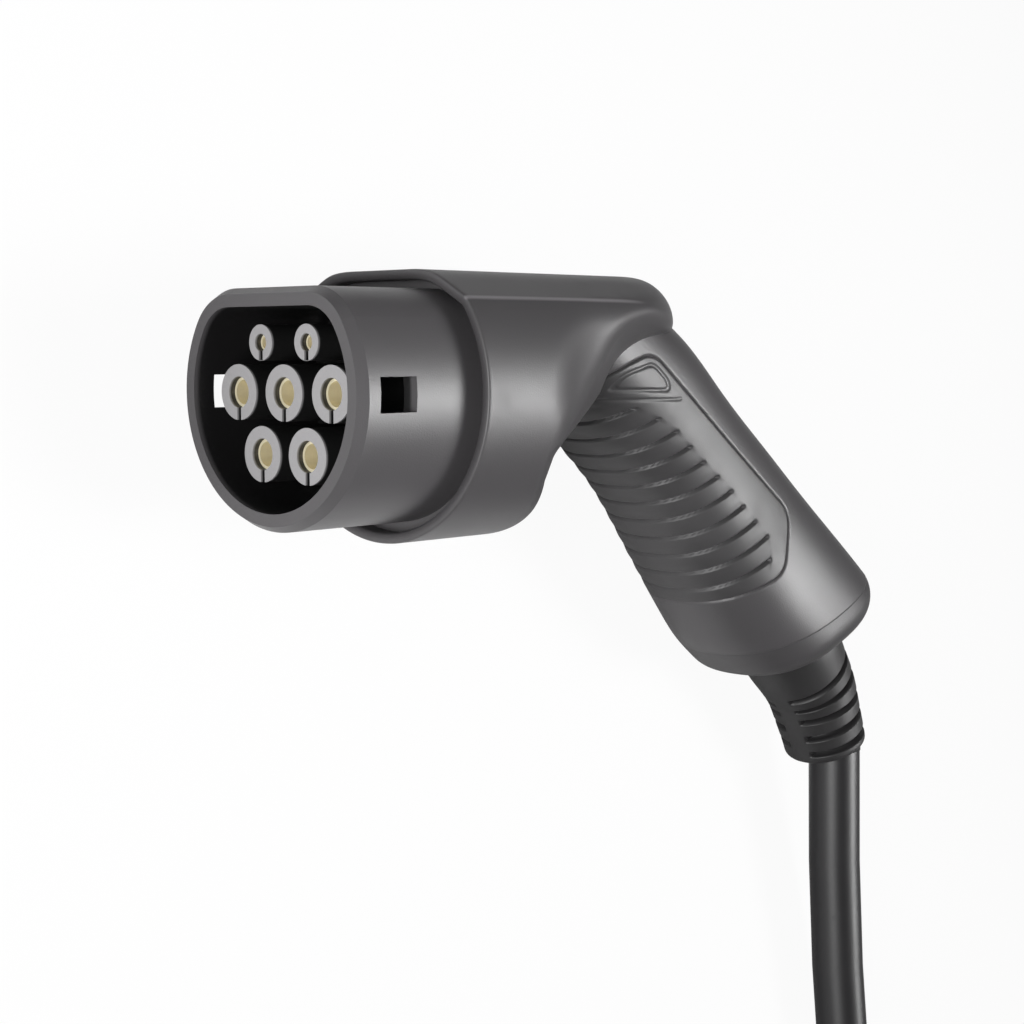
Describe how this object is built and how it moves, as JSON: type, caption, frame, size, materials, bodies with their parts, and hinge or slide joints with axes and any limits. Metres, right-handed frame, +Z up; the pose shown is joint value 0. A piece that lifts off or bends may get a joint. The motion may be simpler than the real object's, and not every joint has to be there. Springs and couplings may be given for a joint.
{
  "type": "ev charging connector",
  "caption": "Handheld vehicle charging connector with a D-shaped socket face, an angled ribbed handle and a coiled cable, lying on its side.",
  "frame": {"origin": "on the surface below the middle of the connector itself, cable left out", "axes": "-X out of the mating face, +Z up, the handle towards -Y; the connector lies on its side"},
  "size_m": [0.2633, 0.5821, 0.076],
  "materials": {
    "cap": "fine matte, moulded",
    "carrier": "matte",
    "clamp": "matte",
    "contact": "silver-plated, turned",
    "ferrule": "tin-plated",
    "gland": "satin",
    "housing": "fine matte, moulded",
    "jacket": "satin",
    "pad": "soft matte",
    "relief": "matte",
    "resistor": "glossy body",
    "retainer": "matte",
    "screw": "satin",
    "seal": "matte",
    "shell": "fine matte, moulded",
    "tails": "satin, one colour to each core",
    "tie": "woven",
    "wire_black": "satin",
    "wire_blue": "satin",
    "wire_brown": "satin",
    "wire_earth": "satin, green and yellow",
    "wire_grey": "satin",
    "wire_red": "satin",
    "wire_white": "satin"
  },
  "bodies": {
    "root": {"cable_coil": "jacket", "cable_inside": "jacket", "carrier_screws": "screw", "carrier_seal": "seal", "charging_cable": "jacket", "clamp_bar": "clamp", "clamp_saddle": "clamp", "clamp_screws": "screw", "coding_resistor": "resistor", "coil_tie": "tie", "contact_carrier": "carrier", "contact_cp": "contact", "contact_l1": "contact", "contact_l2": "contact", "contact_l3": "contact", "contact_n": "contact", "contact_pe": "contact", "contact_pp": "contact", "contact_retainer": "retainer", "core_cp": "wire_white", "core_l1": "wire_brown", "core_l2": "wire_black", "core_l3": "wire_grey", "core_n": "wire_blue", "core_pe": "wire_earth", "core_pp": "wire_red", "end_cap": "cap", "far_end_cores": "tails", "far_end_ferrules": "ferrule", "front_shell": "shell", "gland_body": "gland", "gland_locknut": "gland", "gland_nut": "gland", "grip_pad": "pad", "handle_housing": "housing", "shell_gasket": "seal", "strain_relief": "relief"}
  },
  "joints": []
}
